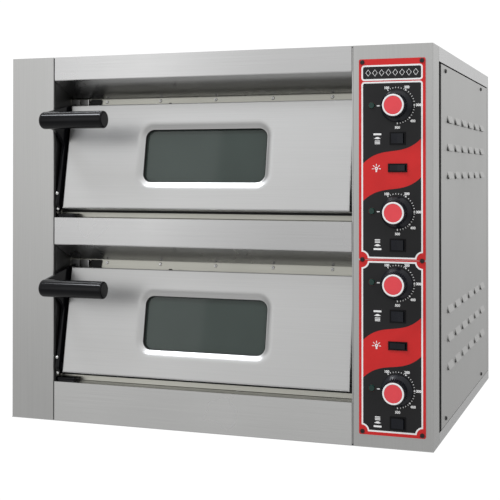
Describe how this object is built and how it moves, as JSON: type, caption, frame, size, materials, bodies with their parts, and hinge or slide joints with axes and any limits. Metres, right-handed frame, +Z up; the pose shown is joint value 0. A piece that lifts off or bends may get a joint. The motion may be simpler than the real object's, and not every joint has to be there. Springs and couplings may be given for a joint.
{
  "type": "countertop pizza oven",
  "caption": "Double-deck electric countertop pizza oven with drop-down doors, side handles, dial thermostats and rocker switches on a control column.",
  "frame": {"origin": "bottom centre of the outer box, on the surface the oven stands on", "axes": "+X to the right seen from the front, +Y from the front to the back, +Z up"},
  "size_m": [0.8974, 0.82, 0.754],
  "materials": {
    "brushed_steel": "satin brushed stainless sheet",
    "chamber_steel": "heat-tinted plain sheet",
    "bright_steel": "bright zinc",
    "dark_screws": "blackened",
    "element_steel": "oxidised sheath",
    "control_plate": "red plate with black fields and white lines, satin",
    "black_plastic": "glossy black heat-resistant moulding",
    "red_plastic": "red cap",
    "grey_plastic": "grey moulding",
    "green_lens": "dark green lens",
    "oven_glass": "greenish toughened glass",
    "firebrick": "pale firebrick",
    "rubber": "black rubber",
    "mineral_wool": "mineral wool blanket"
  },
  "bodies": {
    "cabinet": {"base_pan": "brushed_steel", "bottom_elements": "element_steel", "bottom_rail": "brushed_steel", "bright_screws": "bright_steel", "cable_gland": "grey_plastic", "case_screws": "dark_screws", "chamber_lamps": "oven_glass", "control_plate_lower": "control_plate", "control_plate_upper": "control_plate", "firebricks": "firebrick", "hinge_brackets": "bright_steel", "hinge_pins": "bright_steel", "insulation": "mineral_wool", "left_post": "brushed_steel", "left_side_panel": "brushed_steel", "lower_chamber": "chamber_steel", "lower_chamber_face": "chamber_steel", "middle_rail": "brushed_steel", "pilot_lamps": "green_lens", "rear_panel": "brushed_steel", "right_post": "brushed_steel", "right_side_panel": "brushed_steel", "rubber_feet": "rubber", "switch_housings": "black_plastic", "terminal_block": "grey_plastic", "thermostats": "grey_plastic", "top_cover": "brushed_steel", "top_elements": "element_steel", "top_rail": "brushed_steel", "upper_chamber": "chamber_steel", "upper_chamber_face": "chamber_steel", "wiring_bay_wall": "chamber_steel"},
    "upper_door": {"upper_door_skin": "brushed_steel", "upper_door_liner": "chamber_steel", "upper_door_glass": "oven_glass", "upper_handle_arm": "black_plastic", "upper_handle_grip": "black_plastic"},
    "lower_door": {"lower_door_skin": "brushed_steel", "lower_door_liner": "chamber_steel", "lower_door_glass": "oven_glass", "lower_handle_arm": "black_plastic", "lower_handle_grip": "black_plastic"},
    "upper_top_knob": {"upper_top_knob": "black_plastic", "upper_top_knob_cap": "red_plastic", "upper_top_spindle": "bright_steel"},
    "upper_bottom_knob": {"upper_bottom_knob": "black_plastic", "upper_bottom_knob_cap": "red_plastic", "upper_bottom_spindle": "bright_steel"},
    "lower_top_knob": {"lower_top_knob": "black_plastic", "lower_top_knob_cap": "red_plastic", "lower_top_spindle": "bright_steel"},
    "lower_bottom_knob": {"lower_bottom_knob": "black_plastic", "lower_bottom_knob_cap": "red_plastic", "lower_bottom_spindle": "bright_steel"},
    "upper_top_rocker": {"upper_top_rocker": "black_plastic"},
    "upper_bottom_rocker": {"upper_bottom_rocker": "black_plastic"},
    "lower_top_rocker": {"lower_top_rocker": "black_plastic"},
    "lower_bottom_rocker": {"lower_bottom_rocker": "black_plastic"},
    "upper_light_rocker": {"upper_light_rocker": "black_plastic"},
    "lower_light_rocker": {"lower_light_rocker": "black_plastic"}
  },
  "joints": [
    {"name": "upper_door_hinge", "type": "hinge", "parent": "cabinet", "child": "upper_door", "pos_m": [0, -0.329, 0.454], "axis": [1, 0, 0], "range_deg": [0, 90]},
    {"name": "lower_door_hinge", "type": "hinge", "parent": "cabinet", "child": "lower_door", "pos_m": [0, -0.329, 0.1155], "axis": [1, 0, 0], "range_deg": [0, 90]},
    {"name": "upper_top_knob_turn", "type": "hinge", "parent": "cabinet", "child": "upper_top_knob", "pos_m": [0.37615, -0.343, 0.639], "axis": [0, 1, 0], "range_deg": [0, 270]},
    {"name": "upper_bottom_knob_turn", "type": "hinge", "parent": "cabinet", "child": "upper_bottom_knob", "pos_m": [0.37615, -0.343, 0.442], "axis": [0, 1, 0], "range_deg": [0, 270]},
    {"name": "lower_top_knob_turn", "type": "hinge", "parent": "cabinet", "child": "lower_top_knob", "pos_m": [0.37615, -0.343, 0.31], "axis": [0, 1, 0], "range_deg": [0, 270]},
    {"name": "lower_bottom_knob_turn", "type": "hinge", "parent": "cabinet", "child": "lower_bottom_knob", "pos_m": [0.37615, -0.343, 0.113], "axis": [0, 1, 0], "range_deg": [0, 270]},
    {"name": "upper_top_rocker_tilt", "type": "hinge", "parent": "cabinet", "child": "upper_top_rocker", "pos_m": [0.37815, -0.344, 0.579], "axis": [0, 0, 1], "range_deg": [0, 14]},
    {"name": "upper_bottom_rocker_tilt", "type": "hinge", "parent": "cabinet", "child": "upper_bottom_rocker", "pos_m": [0.37815, -0.344, 0.3815], "axis": [0, 0, 1], "range_deg": [0, 14]},
    {"name": "lower_top_rocker_tilt", "type": "hinge", "parent": "cabinet", "child": "lower_top_rocker", "pos_m": [0.37815, -0.344, 0.25], "axis": [0, 0, 1], "range_deg": [0, 14]},
    {"name": "lower_bottom_rocker_tilt", "type": "hinge", "parent": "cabinet", "child": "lower_bottom_rocker", "pos_m": [0.37815, -0.344, 0.0525], "axis": [0, 0, 1], "range_deg": [0, 14]},
    {"name": "upper_light_rocker_tilt", "type": "hinge", "parent": "cabinet", "child": "upper_light_rocker", "pos_m": [0.37815, -0.344, 0.5245], "axis": [0, 0, 1], "range_deg": [0, 14]},
    {"name": "lower_light_rocker_tilt", "type": "hinge", "parent": "cabinet", "child": "lower_light_rocker", "pos_m": [0.37815, -0.344, 0.1955], "axis": [0, 0, 1], "range_deg": [0, 14]}
  ]
}
